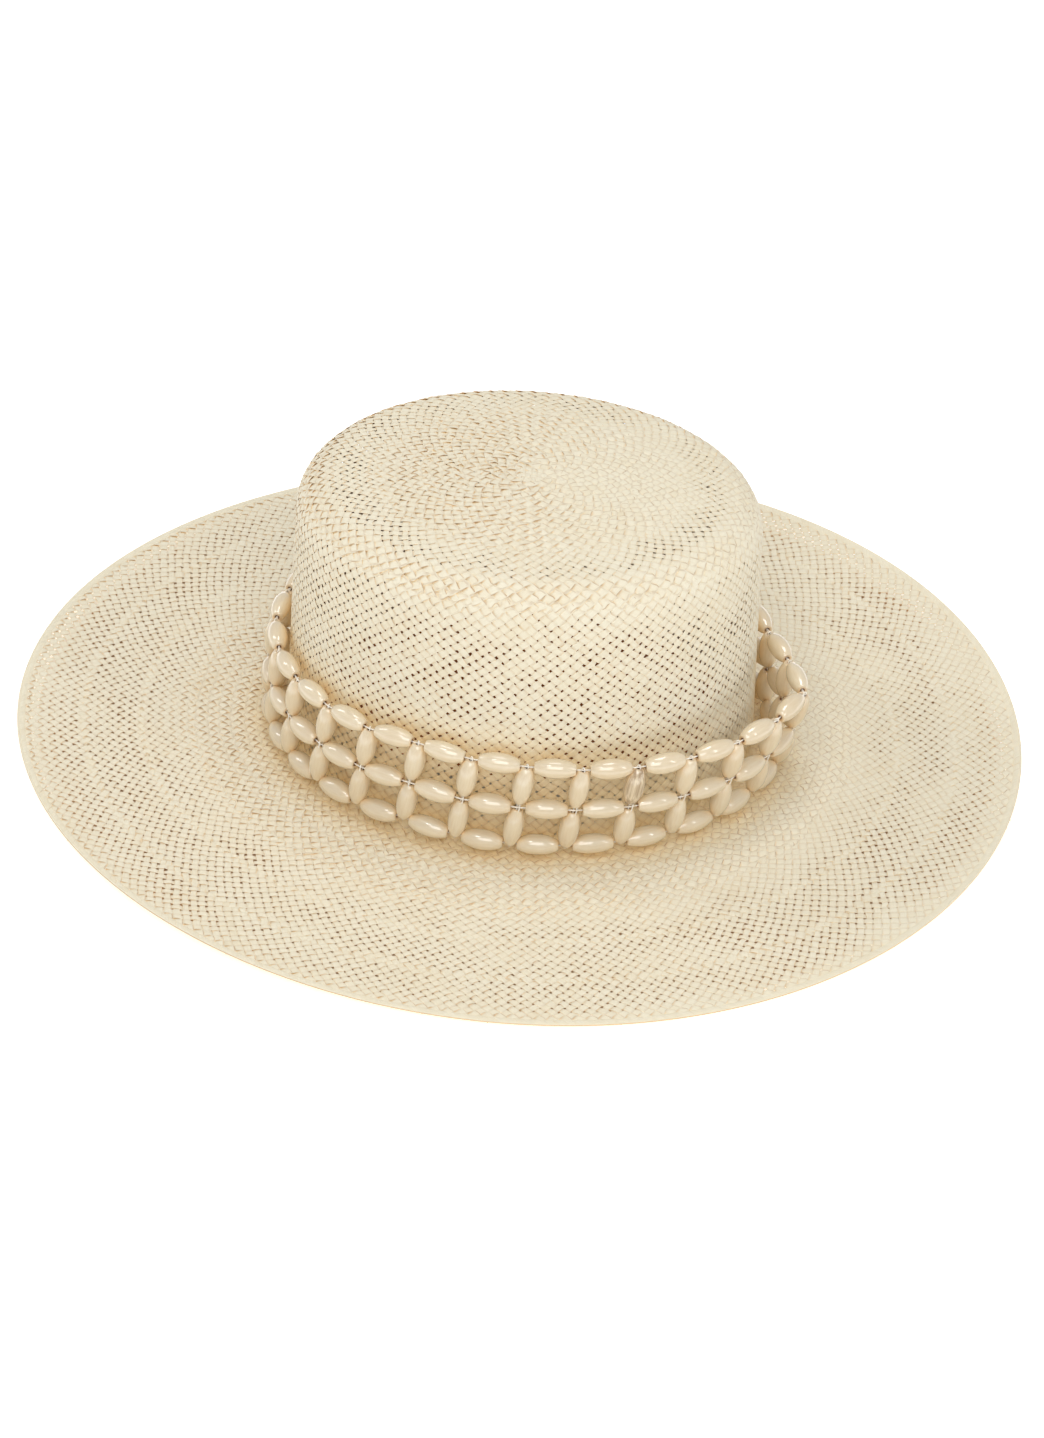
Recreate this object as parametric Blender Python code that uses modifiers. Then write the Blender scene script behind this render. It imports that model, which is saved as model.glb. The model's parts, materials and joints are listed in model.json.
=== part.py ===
"""A wide-brimmed woven straw hat with a loose net band of wooden beads round its crown.

Metres, +Z up. +X points to the wearer's front, so the head oval is long along X.
The origin is at the centre of the head opening, on the plane that the brim rests on.
"""

import math

import bmesh
import bpy
from mathutils import Vector

# The head oval: the outside of the crown where it meets the brim.
HEAD_HALF_LENGTH = 0.101
HEAD_HALF_WIDTH = 0.0873
STRAW_THICKNESS = 0.0016

# The crown, measured from the upper face of the brim.
CROWN_HEIGHT = 0.123
CROWN_TAPER = 0.003
CROWN_EDGE_RADIUS = 0.018
CROWN_DOME = 0.004
WALL_RINGS = (0.3, 0.65)  # shares of the wall's height
DOME_RINGS = (0.75, 0.5, 0.25)  # shares of the flat top's radius

# The brim, measured out from the head oval.
BRIM_WIDTH = 0.115
BRIM_BREAK_RADIUS = 0.005
BRIM_FLAT_WIDTH = 0.39 * BRIM_WIDTH
BRIM_WAVE = 0.003
BRIM_WAVE_ANGLE = math.radians(34)
BRIM_RINGS = (1.0, 0.9, 0.78, 0.64, 0.5, 0.39, 0.24, 0.10)  # shares of the brim's width

# The sweatband inside the crown, and what is sewn to it.
CLEARANCE = 0.0005
SEWN_CLEARANCE = 0.0007
SWEATBAND_THICKNESS = 0.0008
SWEATBAND_BOTTOM = 0.0030
SWEATBAND_HEIGHT = 0.030
STITCH_THREAD_RADIUS = 0.00025
STITCH_POINTS = 120
STITCH_ZIGZAG = 0.0012
BOW_HALF_SPAN = 0.012
BOW_HALF_HEIGHT = 0.005
BOW_THICKNESS = 0.002
BOW_MIDDLE = 0.019
BOW_RIGHT_LOOP = ((0.12, 0.36), (0.8, 1.0), (1.0, 0.8), (1.0, -0.8), (0.8, -1.0), (0.12, -0.36))
LABEL_WIDTH = 0.024
LABEL_HEIGHT = 0.0135
LABEL_THICKNESS = 0.0005
LABEL_HINGE_HEIGHT = 0.0235

# The bead net: three level strings joined by columns of two upright beads.
COLUMNS = 28
CORD_RADIUS = 0.00045
CORD_STEP = 0.00015  # the cord keeps its own radius until this close to a bead
BEAD_LENGTH = 0.0167
BEAD_RADIUS = 0.0043
BEAD_END_RADIUS = 0.0018
BEAD_SHOULDER = 0.25  # share of the bead's length
NODE_GAP = 0.0013
MIDDLE_STRING_SETBACK = 0.0015
COLUMN_SPAN = 2 * BEAD_LENGTH + 4 * NODE_GAP
BOTTOM_STRING_OFFSET = 0.0074
TOP_STRING_OFFSET = 0.0050
CORNER_ANGLE = math.radians(-10)
CORNER_REACH_RIGHT = math.radians(26)
CORNER_REACH_LEFT = math.radians(72)
TOP_CORNER_BULGE = 0.0176
BOTTOM_CORNER_BULGE = 0.0055
CORNER_SHARPNESS_RIGHT = 1.5
CORNER_SHARPNESS_LEFT = 1.1
NET_LIFT = 0.0010  # how far the whole net rides up off the brim
COLUMN_LIFTS = {  # how much further single columns ride up
    1: 0.0012, 2: 0.0006, 16: 0.0005, 17: 0.0011, 18: 0.0016, 19: 0.0018,
    20: 0.0020, 21: 0.0036, 22: 0.0014, 23: 0.0004, 28: 0.0006,
}

AROUND = 48
PATH_SAMPLES = 1440

STRAW = ("straw", (0.78, 0.70, 0.53), 0.85)
BEAD_WOOD = ("bead_wood", (0.76, 0.62, 0.42), 0.25)
GROSGRAIN = ("grosgrain", (0.80, 0.76, 0.66), 0.90)
THREAD = ("thread", (0.86, 0.82, 0.72), 0.80)
LABEL_CLOTH = ("label_cloth", (0.88, 0.87, 0.83), 0.60)


def clear_scene():
    for obj in list(bpy.data.objects):
        bpy.data.objects.remove(obj, do_unlink=True)


def material(name, color, roughness):
    made = bpy.data.materials.get(name) or bpy.data.materials.new(name)
    made.use_nodes = True
    shader = made.node_tree.nodes["Principled BSDF"]
    shader.inputs["Base Color"].default_value = (*color, 1.0)
    shader.inputs["Roughness"].default_value = roughness
    shader.inputs["Metallic"].default_value = 0.0
    return made


def add_object(name, data, finish, location=(0, 0, 0)):
    """A new object in the hat's collection, with its material."""
    obj = bpy.data.objects.new(name, data)
    obj.location = location
    bpy.data.collections["panama_hat"].objects.link(obj)
    if not data.materials:
        data.materials.append(material(*finish))
    return obj


def oval_point(angle, offset, height):
    """The point that stands `offset` outside the head oval, square to it."""
    along, across = math.cos(angle), math.sin(angle)
    outward = Vector((HEAD_HALF_WIDTH * along, HEAD_HALF_LENGTH * across, 0)).normalized()
    return Vector((HEAD_HALF_LENGTH * along, HEAD_HALF_WIDTH * across, height)) + offset * outward


def wall_offset(height):
    """How far the crown's outside leans in from the head oval at a height."""
    return -CROWN_TAPER * height / (CROWN_HEIGHT - CROWN_EDGE_RADIUS)


def brim_lift(angle, offset):
    """The height that the brim's gentle two-lobed wave adds outside its flat inner part."""
    reach = max(0.0, (offset - BRIM_FLAT_WIDTH) / (BRIM_WIDTH - BRIM_FLAT_WIDTH))
    return BRIM_WAVE * (1 + math.cos(2 * (angle - BRIM_WAVE_ANGLE))) * reach * reach


def ring_angles(count):
    return [2 * math.pi * i / count for i in range(count)]


def loft(rings, centre=None):
    """An open surface through closed rings of equal count, capped by a fan to `centre`."""
    surface = bmesh.new()
    rows = [[surface.verts.new(point) for point in ring] for ring in rings]
    for outer, inner in zip(rows, rows[1:]):
        for i in range(len(outer)):
            j = (i + 1) % len(outer)
            surface.faces.new((outer[i], outer[j], inner[j], inner[i]))
    if centre is not None:
        tip = surface.verts.new(centre)
        last = rows[-1]
        for i in range(len(last)):
            surface.faces.new((last[i], last[(i + 1) % len(last)], tip))
    mesh = bpy.data.meshes.new("loft")
    surface.to_mesh(mesh)
    surface.free()
    mesh.shade_smooth()
    return mesh


def add_thickness(obj, thickness):
    """Thickens an open surface on the side that its normals point away from."""
    solidify = obj.modifiers.new("thickness", "SOLIDIFY")
    solidify.thickness = thickness
    solidify.offset = -1
    solidify.use_even_offset = True


def straw_profile():
    """(offset, height) pairs of the outer face, from the brim's edge to the crown's rounded edge."""
    profile = [(BRIM_WIDTH * share, 0.0) for share in BRIM_RINGS]
    for step in range(4):
        turn = math.pi / 2 * step / 3
        across = BRIM_BREAK_RADIUS * (1 - math.sin(turn))
        profile.append((across, BRIM_BREAK_RADIUS * (1 - math.cos(turn))))
    shoulder_start = CROWN_HEIGHT - CROWN_EDGE_RADIUS
    profile += [(wall_offset(share * shoulder_start), share * shoulder_start) for share in WALL_RINGS]
    for step in range(6):
        turn = math.pi / 2 * step / 5
        inward = CROWN_TAPER + CROWN_EDGE_RADIUS * (1 - math.cos(turn))
        profile.append((-inward, shoulder_start + CROWN_EDGE_RADIUS * math.sin(turn)))
    return profile


def build_straw_body():
    """Crown and brim: one woven sheet, lofted from the wide brim's outline to the small crown top."""
    angles = ring_angles(AROUND)
    rings = [
        [oval_point(a, offset, STRAW_THICKNESS + height + brim_lift(a, offset)) for a in angles]
        for offset, height in straw_profile()
    ]
    flat_top = rings[-1]
    top_height = STRAW_THICKNESS + CROWN_HEIGHT
    for share in DOME_RINGS:
        height = top_height + CROWN_DOME * (1 - share * share)
        rings.append([Vector((p.x * share, p.y * share, height)) for p in flat_top])
    centre = (0, 0, top_height + CROWN_DOME)
    body = add_object("straw_body", loft(rings, centre), STRAW)
    add_thickness(body, STRAW_THICKNESS)


def sweatband_offset(height):
    """The sweatband's outer face, just inside the straw wall."""
    return wall_offset(height) - STRAW_THICKNESS - CLEARANCE


def build_sweatband():
    """A ribbon that lines the foot of the crown."""
    angles = ring_angles(AROUND)
    heights = [SWEATBAND_BOTTOM + SWEATBAND_HEIGHT * share for share in (0.0, 0.5, 1.0)]
    rings = [[oval_point(a, sweatband_offset(h), h) for a in angles] for h in heights]
    band = add_object("sweatband", loft(rings), GROSGRAIN)
    add_thickness(band, SWEATBAND_THICKNESS)


def wire(name, points, depth, sides_step, cyclic):
    """A tube along (position, radius) pairs."""
    curve = bpy.data.curves.new(name, "CURVE")
    curve.dimensions = "3D"
    curve.bevel_depth = depth
    curve.bevel_resolution = sides_step
    curve.use_fill_caps = not cyclic
    curve.twist_mode = "Z_UP" if cyclic else "MINIMUM"
    spline = curve.splines.new("POLY")
    spline.points.add(len(points) - 1)
    for slot, (position, radius) in zip(spline.points, points):
        slot.co = (*position, 1)
        slot.radius = radius / depth
    spline.use_cyclic_u = cyclic
    return curve


def build_stitching():
    """The zigzag thread that holds the sweatband, near its lower edge."""
    height = SWEATBAND_BOTTOM + 2 * STITCH_ZIGZAG
    standing = SWEATBAND_THICKNESS + SEWN_CLEARANCE + STITCH_THREAD_RADIUS
    points = []
    for i, angle in enumerate(ring_angles(STITCH_POINTS)):
        level = height + (STITCH_ZIGZAG if i % 2 else -STITCH_ZIGZAG)
        points.append((oval_point(angle, sweatband_offset(level) - standing, level), STITCH_THREAD_RADIUS))
    add_object("sweatband_stitching", wire("stitching", points, STITCH_THREAD_RADIUS, 0, True), THREAD)


def inner_face(half_axis, other_half_axis, half_span, height):
    """Where a flat piece of that half span touches the sweatband's inner face, from the centre."""
    inset = sweatband_offset(height) - SWEATBAND_THICKNESS
    return (half_axis + inset) * math.sqrt(1 - (half_span / (other_half_axis + inset)) ** 2)


def build_bow():
    """A flat ribbon bow over the sweatband's join, at the back of the head."""
    outline = bpy.data.curves.new("bow", "CURVE")
    outline.dimensions = "2D"
    outline.fill_mode = "BOTH"
    outline.extrude = BOW_THICKNESS / 2
    half = [(x * BOW_HALF_SPAN, y * BOW_HALF_HEIGHT) for x, y in BOW_RIGHT_LOOP]
    loop = half + [(-x, -y) for x, y in half]
    spline = outline.splines.new("POLY")
    spline.points.add(len(loop) - 1)
    for slot, (x, y) in zip(spline.points, loop):
        slot.co = (x, y, 0, 1)
    spline.use_cyclic_u = True
    touch = inner_face(HEAD_HALF_LENGTH, HEAD_HALF_WIDTH, BOW_HALF_SPAN, BOW_MIDDLE)
    back = -(touch - SEWN_CLEARANCE - BOW_THICKNESS / 2)
    bow = add_object("sweatband_bow", outline, GROSGRAIN, (back, 0, BOW_MIDDLE))
    bow.rotation_euler = (math.pi / 2, 0, math.pi / 2)


def build_size_label():
    """A blank woven label that hangs from its sewn top edge, with its origin on that edge."""
    mesh = bpy.data.meshes.new("label")
    shape = bmesh.new()
    bmesh.ops.create_cube(shape, size=1.0)
    bmesh.ops.scale(shape, verts=shape.verts, vec=(LABEL_WIDTH, LABEL_THICKNESS, LABEL_HEIGHT))
    bmesh.ops.translate(shape, verts=shape.verts, vec=(0, 0, -LABEL_HEIGHT / 2))
    shape.to_mesh(mesh)
    shape.free()
    touch = inner_face(HEAD_HALF_WIDTH, HEAD_HALF_LENGTH, LABEL_WIDTH / 2, LABEL_HINGE_HEIGHT)
    side = touch - SEWN_CLEARANCE - LABEL_THICKNESS / 2
    add_object("size_label", mesh, LABEL_CLOTH, (0, side, LABEL_HINGE_HEIGHT))


def corner_bulge(angle):
    """0 to 1: how far the slack net stands out, peaking at its tied corner."""
    away = (angle - CORNER_ANGLE + math.pi) % (2 * math.pi) - math.pi
    if away > 0:
        return max(0.0, 1 - away / CORNER_REACH_RIGHT) ** CORNER_SHARPNESS_RIGHT
    return max(0.0, 1 + away / CORNER_REACH_LEFT) ** CORNER_SHARPNESS_LEFT


def string_nodes(offset, bulge, height):
    """Evenly spaced nodes along a closed string round the crown, the first at its corner."""
    path = []
    for i in range(PATH_SAMPLES + 1):
        angle = CORNER_ANGLE + 2 * math.pi * i / PATH_SAMPLES
        path.append(oval_point(angle, offset + bulge * corner_bulge(angle), height))
    travelled = [0.0]
    for start, end in zip(path, path[1:]):
        travelled.append(travelled[-1] + (end - start).length)
    nodes = []
    i = 0
    for column in range(COLUMNS):
        wanted = travelled[-1] * column / COLUMNS
        while travelled[i + 1] < wanted:
            i += 1
        share = (wanted - travelled[i]) / (travelled[i + 1] - travelled[i])
        nodes.append(path[i].lerp(path[i + 1], share))
    return nodes


def net_nodes():
    """Node positions of the top, middle and bottom strings, column by column."""
    bottom_height = STRAW_THICKNESS + BEAD_RADIUS + CLEARANCE + NET_LIFT
    bottom = string_nodes(BOTTOM_STRING_OFFSET, BOTTOM_CORNER_BULGE, bottom_height)
    top = string_nodes(TOP_STRING_OFFSET, TOP_CORNER_BULGE, bottom_height)
    for column, lift in COLUMN_LIFTS.items():
        bottom[column - 1].z += lift
    middle = []
    for low, high in zip(bottom, top):
        high.z = low.z + math.sqrt(COLUMN_SPAN**2 - (high - low).length_squared)
        outward = Vector((low.x, low.y, 0)).normalized()
        middle.append((low + high) / 2 + MIDDLE_STRING_SETBACK * outward)
    return top, middle, bottom


def bead_stations(start, along, length):
    """(position, radius) pairs down one barrel bead that starts at `start`."""
    shoulder = length * BEAD_SHOULDER
    places = (
        (0.0, BEAD_END_RADIUS),
        (shoulder, BEAD_RADIUS),
        (length - shoulder, BEAD_RADIUS),
        (length, BEAD_END_RADIUS),
    )
    return [(start + along * place, radius) for place, radius in places]


def build_string(name, nodes):
    """A level string: a closed cord with one bead threaded between each pair of nodes."""
    points = []
    for here, there in zip(nodes, nodes[1:] + nodes[:1]):
        along = (there - here).normalized()
        first = here + along * ((there - here).length - BEAD_LENGTH) / 2
        last = first + along * BEAD_LENGTH
        points.append((here, CORD_RADIUS))
        points.append((first - along * CORD_STEP, CORD_RADIUS))
        points += bead_stations(first, along, BEAD_LENGTH)
        points.append((last + along * CORD_STEP, CORD_RADIUS))
    add_object(name, wire(name, points, CORD_RADIUS, 1, True), BEAD_WOOD)


def build_uprights(tops, bottoms):
    """Two upright beads on one short cord at each column; they turn about the cord, their local Z."""
    low = -COLUMN_SPAN / 2 + NODE_GAP
    up = Vector((0, 0, 1))
    points = bead_stations(low * up, up, BEAD_LENGTH)
    points.append(((-NODE_GAP + CORD_STEP) * up, CORD_RADIUS))
    points.append(((NODE_GAP - CORD_STEP) * up, CORD_RADIUS))
    points += bead_stations(NODE_GAP * up, up, BEAD_LENGTH)
    column = wire("upright_beads", points, CORD_RADIUS, 1, False)
    for number, (high, base) in enumerate(zip(tops, bottoms), start=1):
        upright = add_object(f"vertical_beads_{number:02d}", column, BEAD_WOOD, (high + base) / 2)
        upright.rotation_mode = "QUATERNION"
        upright.rotation_quaternion = (high - base).to_track_quat("Z", "Y")


def build_hat():
    clear_scene()
    hat = bpy.data.collections.new("panama_hat")
    bpy.context.scene.collection.children.link(hat)
    build_straw_body()
    build_sweatband()
    build_stitching()
    build_bow()
    build_size_label()
    top, middle, bottom = net_nodes()
    build_string("top_bead_string", top)
    build_string("middle_bead_string", middle)
    build_string("bottom_bead_string", bottom)
    build_uprights(top, bottom)


build_hat()
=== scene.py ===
"""The looks of a woven straw hat with a net of wooden beads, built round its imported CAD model.

Metres, +Z up, in the CAD's frame: +X is the wearer's front, and the origin is the centre of
the head opening on the plane that the brim rests on.
"""

import json
import math

import bpy
import numpy as np
from mathutils import Matrix, Vector


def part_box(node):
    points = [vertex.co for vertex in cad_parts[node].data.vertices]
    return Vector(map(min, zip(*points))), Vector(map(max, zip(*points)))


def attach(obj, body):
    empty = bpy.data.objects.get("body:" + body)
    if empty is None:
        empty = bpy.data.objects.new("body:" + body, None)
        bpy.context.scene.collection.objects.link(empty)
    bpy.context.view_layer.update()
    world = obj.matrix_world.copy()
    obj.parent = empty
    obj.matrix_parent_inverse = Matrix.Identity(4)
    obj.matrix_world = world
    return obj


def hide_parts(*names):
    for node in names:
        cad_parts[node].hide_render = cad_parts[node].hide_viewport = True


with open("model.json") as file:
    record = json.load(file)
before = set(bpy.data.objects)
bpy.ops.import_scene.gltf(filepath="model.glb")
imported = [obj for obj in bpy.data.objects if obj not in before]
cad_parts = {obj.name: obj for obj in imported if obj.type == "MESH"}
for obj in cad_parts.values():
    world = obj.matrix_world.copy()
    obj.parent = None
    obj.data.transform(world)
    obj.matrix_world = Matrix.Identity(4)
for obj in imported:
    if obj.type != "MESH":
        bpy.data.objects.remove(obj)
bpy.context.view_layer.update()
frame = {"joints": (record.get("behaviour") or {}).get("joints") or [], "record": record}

# The straw sheet, as the CAD draws its outer face.
straw_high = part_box("straw_body")[1]
BRIM_WIDTH = 0.115
HEAD_HALF_LENGTH = straw_high.x - BRIM_WIDTH
HEAD_HALF_WIDTH = straw_high.y - BRIM_WIDTH
SHEET = 0.0016
CROWN_DOME = 0.004
CROWN_HEIGHT = straw_high.z - CROWN_DOME - SHEET
CROWN_TAPER = 0.003
SHOULDER_RADIUS = 0.018
BREAK_RADIUS = 0.005
BRIM_FLAT_WIDTH = 0.39 * BRIM_WIDTH
BRIM_WAVE = 0.003
BRIM_WAVE_ANGLE = math.radians(34)
TOP_INSET = CROWN_TAPER + SHOULDER_RADIUS
TOP_RADIUS = (HEAD_HALF_LENGTH + HEAD_HALF_WIDTH) / 2 - TOP_INSET

# The strands.
RING_STEP = 0.00238
STRAND_THICKNESS = 0.00024
WEAVE_DEPTH = 0.00015
END_SINK = 0.00022
STRAND_TILT = math.radians(9)
TILT_SPREAD = 0.35
TILT_LOST_WHERE_OPEN = 0.85
STRAND_WIDTH_SPREAD = 0.05  # from strand to strand, as a share of the width
FLOAT_WIDTH_SPREAD = 0.08  # along one strand
WANDER_SWING = 0.05  # how far strands stray sideways, as a share of their pitch
WANDER_SPREAD = 0.035
LEVEL_SPREAD = 0.00002
OPEN_WIDTH = 0.71
DENSE_WIDTH = 1.12
STRAND_SECTION = ((1, 0), (0.72, 1), (-0.90, 1), (-1, 0), (-0.72, -1), (0.90, -1))
SECTION_REACH, SECTION_RISE = np.array(STRAND_SECTION, float).T
STRAND_SPACING = 0.0051
STRAND_TINT_SPREAD = 0.5
TINT_SWING = 0.10
OPENNESS_SWING = 0.14
# Painted shade: how far each corner's colour goes to dark tan, on faces woven under and along strand edges,
# as if in the grooves between strands.
GROOVE_SHADE_BURIED = 0.30
GROOVE_SHADE_AT_DENSE_EDGE = 1.0
GROOVE_SHADE_AT_OPEN_EDGE = 0.10
GROOVE_SHADE_AT_LOW_EDGE = 0.2  # as a share of the groove at the lifted edge
GROOVE_SHADE_AT_CENTRE = 0.5
GROOVE_SHADE_AT_FOLD = 0.3
CENTRE_TINT = 0.05
EDGE_STRAND_TINT = 0.1
SHARP_ANGLE = math.radians(32)
TOP_GROWTH = 1.4
BRIM_GROWTH = 1.15
SHOULDER_ON_TOP = 0.62
CENTRE_STRANDS = 4
CENTRE_PITCH = 0.0024
EDGE_STRAND_RADIUS = 0.00055
EDGE_STRAND_STEPS = 900
EDGE_FOLD_WIDTH = 0.0028
EDGE_FOLD_LEVEL = 0.00034
EDGE_FOLD_SLANT = 0.9
EDGE_FOLD_CROWDING = 1.25  # folded ends per strand spacing
EDGE_FOLD_OVERLAP = 1.15
WEAVE_END_SETBACK = 1.3 * EDGE_FOLD_WIDTH

# The beads.
BEAD_RADIUS = 0.0043
BEAD_END_RADIUS = 0.0022
BEAD_BORE_RADIUS = 0.00085
BEAD_SIDES = 20
BEAD_TINT_SPREAD = 0.5
LEVEL_BEAD_LENGTH = 0.0173
UPRIGHT_BEAD_LENGTH = 0.0176
NODE_GAP = 0.0013
COLUMN_HALF_SPAN = 0.0193
UPRIGHT_BEAD_CENTRE = 0.0103
MIDDLE_SETBACK = 0.0015
STREAKED_COLUMN = 25
CORD_RADIUS = 0.0003
CORD_ARCH = 0.00045
CORD_TUCK = 0.0015
LOOP_OVER = 0.0012
LOOP_LEAN = 0.7
LOOP_HALF_WIDTH = 0.0009
LOOP_POINTS = 12

# What lines the crown.
SWEATBAND_GAP = 0.0006
SWEATBAND_THICKNESS = 0.0006
SWEATBAND_RIBS = 620
RIB_DEPTH = 0.00012
STITCHES = 150
STITCH_RADIUS = 0.00022
BOW_THICKNESS = 0.0003
LABEL_THICKNESS = 0.00035
TACK_RADIUS = 0.00014

# The studio.
FLOOR_HALF_SIZE = 40.0
FLOOR_DROP = 0.0004
FLOOR_COLOR = (0.90, 0.90, 0.90)
FLOOR_GLOW = (0.5, 0.5, 0.5)
CROWN_SHADE_FADE = (0.40, 0.46)  # shares of the hat's reach over which one tint gives way to the next
HAT_SHADE_FADE = (0.95, 0.965)
# Painted shade on the floor under the hat, tan under the brim and dark brown under the crown, each with a
# faint painted glow of light through the straw.
UNDER_BRIM_SHADE_COLOR = (0.52, 0.37, 0.23)
UNDER_BRIM_GLOW = (0.060, 0.030, 0.013)
UNDER_CROWN_SHADE_COLOR = (0.40, 0.15, 0.05)
UNDER_CROWN_GLOW = (0.06, 0.018, 0.006)
WORLD_LIGHT = 0.52
SOFTBOXES = (  # name, position, target, size, power
    ("key_softbox", (-0.4, -1.0, 1.9), (0, 0, 0.03), (0.35, 0.25), 3),
    ("front_softbox", (0.2, -1.45, 1.25), (0, 0, 0.03), (1.1, 1.0), 10),
    ("right_softbox", (1.5, -0.8, 1.1), (0, 0, 0.03), (0.2, 0.8), 2.5),
    ("left_softbox", (-1.5, 0.4, 1.3), (0, 0, 0.03), (0.3, 0.9), 4),
    ("top_softbox", (0.0, 0.35, 2.1), (0, 0, 0), (0.8, 0.8), 11),
)

# The camera: where it stands, and how it leans.
CAMERA_ELEVATION = math.radians(36.2)
CAMERA_TURN = math.radians(6.25)
CAMERA_DISTANCE = 1.8
CAMERA_ROLL = math.radians(2.67)
CAMERA_LENS = 143.6
CAMERA_SHIFT = (0.0024, 0.0042)


# ---------------------------------------------------------------- mesh and node helpers


def link_object(name, data):
    obj = bpy.data.objects.new(name, data)
    bpy.context.scene.collection.objects.link(obj)
    return obj


def claim(pieces, body, node):
    """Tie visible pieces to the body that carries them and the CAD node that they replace."""
    for piece in pieces:
        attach(piece, body)
        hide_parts(node)


def mesh_object(name, points, faces, attributes, finish):
    """A smooth mesh object from an array of points and a list of arrays of faces."""
    mesh = bpy.data.meshes.new(name)
    mesh.vertices.add(len(points))
    mesh.vertices.foreach_set("co", np.ascontiguousarray(points, np.float32).ravel())
    loops = np.concatenate([block.ravel() for block in faces])
    sizes = np.concatenate([np.full(len(block), block.shape[1]) for block in faces])
    mesh.loops.add(len(loops))
    mesh.loops.foreach_set("vertex_index", loops.astype(np.int32))
    mesh.polygons.add(len(sizes))
    starts = np.concatenate([[0], np.cumsum(sizes)[:-1]])
    mesh.polygons.foreach_set("loop_start", starts.astype(np.int32))
    mesh.update(calc_edges=True)
    for key, values in attributes.items():
        kind, field = ("FLOAT_VECTOR", "vector") if values.ndim == 2 else ("FLOAT", "value")
        layer = mesh.attributes.new(key, kind, "POINT")
        layer.data.foreach_set(field, np.ascontiguousarray(values, np.float32).ravel())
    mesh.shade_smooth()
    mesh.set_sharp_from_angle(angle=SHARP_ANGLE)
    mesh.materials.append(finish)
    mesh.validate()
    return link_object(name, mesh)


def tube_faces(tubes, sections, around):
    """Faces of many capped tubes, whose points run tube by tube and section by section."""
    tube = np.arange(tubes)[:, None, None] * sections * around
    section = np.arange(sections - 1)[None, :, None] * around
    here = np.arange(around)[None, None, :]
    after = (here + 1) % around
    corners = [tube + section + here, tube + section + after]
    corners += [corners[1] + around, corners[0] + around]
    sides = np.stack([np.broadcast_to(c, (tubes, sections - 1, around)) for c in corners], -1)
    first = np.arange(tubes)[:, None] * sections * around + np.arange(around)
    last = first + (sections - 1) * around
    return [sides.reshape(-1, 4), first[:, ::-1], last]


def ring_faces(rings, around):
    """Quads between closed rings of points, from the first ring to the last, left open."""
    here = np.arange(around)
    after = (here + 1) % around
    start = np.arange(rings - 1)[:, None] * around
    corners = [start + here, start + after, start + around + after, start + around + here]
    return np.stack(corners, -1).reshape(-1, 4)


def closing_faces(rings, around):
    """Quads from the last closed ring of points back to the first."""
    here = np.arange(around)
    after = (here + 1) % around
    last = (rings - 1) * around
    return np.stack([last + here, last + after, after, here], -1)


def unit(vectors):
    return vectors / np.linalg.norm(vectors, axis=-1, keepdims=True)


class Shader:
    """A Principled material with short calls for its nodes."""

    def __init__(self, name, roughness, specular=0.5):
        self.material = bpy.data.materials.new(name)
        self.material.use_nodes = True
        self.tree = self.material.node_tree
        self.principled = self.tree.nodes["Principled BSDF"]
        self.set("Roughness", roughness)
        self.set("Specular IOR Level", specular)

    def set(self, key, value):
        self.principled.inputs[key].default_value = value

    def feed(self, key, output):
        self.tree.links.new(output, self.principled.inputs[key])

    def node(self, kind, inputs=None, **settings):
        made = self.tree.nodes.new(kind)
        for key, value in settings.items():
            setattr(made, key, value)
        for key, value in (inputs or {}).items():
            if isinstance(value, bpy.types.NodeSocket):
                self.tree.links.new(value, made.inputs[key])
            else:
                made.inputs[key].default_value = value
        return made

    def attribute(self, name, output="Fac"):
        return self.node("ShaderNodeAttribute", attribute_name=name).outputs[output]

    def math(self, operation, *values):
        made = self.node("ShaderNodeMath", dict(enumerate(values)), operation=operation)
        return made.outputs[0]

    def noise(self, vector, scale, detail=2.0, roughness=0.5):
        inputs = {"Vector": vector, "Scale": scale, "Detail": detail, "Roughness": roughness}
        return self.node("ShaderNodeTexNoise", inputs).outputs["Fac"]

    def stretched(self, vector, scale):
        inputs = {"Vector": vector, "Scale": scale}
        return self.node("ShaderNodeMapping", inputs).outputs[0]

    def ramp(self, factor, low, high, color_low, color_high):
        made = self.node("ShaderNodeValToRGB", {"Fac": factor})
        ends = made.color_ramp.elements
        ends[0].position, ends[0].color = low, (*color_low, 1)
        ends[1].position, ends[1].color = high, (*color_high, 1)
        return made.outputs[0]

    def mix(self, factor, first, second, blend_type="MIX"):
        inputs = {0: factor, 6: as_rgba(first), 7: as_rgba(second)}
        made = self.node("ShaderNodeMix", inputs, data_type="RGBA", blend_type=blend_type)
        return made.outputs[2]

    def painted_bounce_light(self, color, reach, tint):
        """Painted bounce light: the colour times `tint` where nearby surfaces, within `reach`, close it in.
        """
        inputs = {"Distance": reach}
        unhidden = self.node("ShaderNodeAmbientOcclusion", inputs, samples=4).outputs["AO"]
        return self.mix(self.math("SUBTRACT", 1.0, unhidden), color, tint, "MULTIPLY")

    def bump(self, height, strength, distance):
        inputs = {"Height": height, "Strength": strength, "Distance": distance}
        self.feed("Normal", self.node("ShaderNodeBump", inputs).outputs[0])


def as_rgba(color):
    return (*color, 1) if isinstance(color, tuple) and len(color) == 3 else color


# ---------------------------------------------------------------- materials


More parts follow.
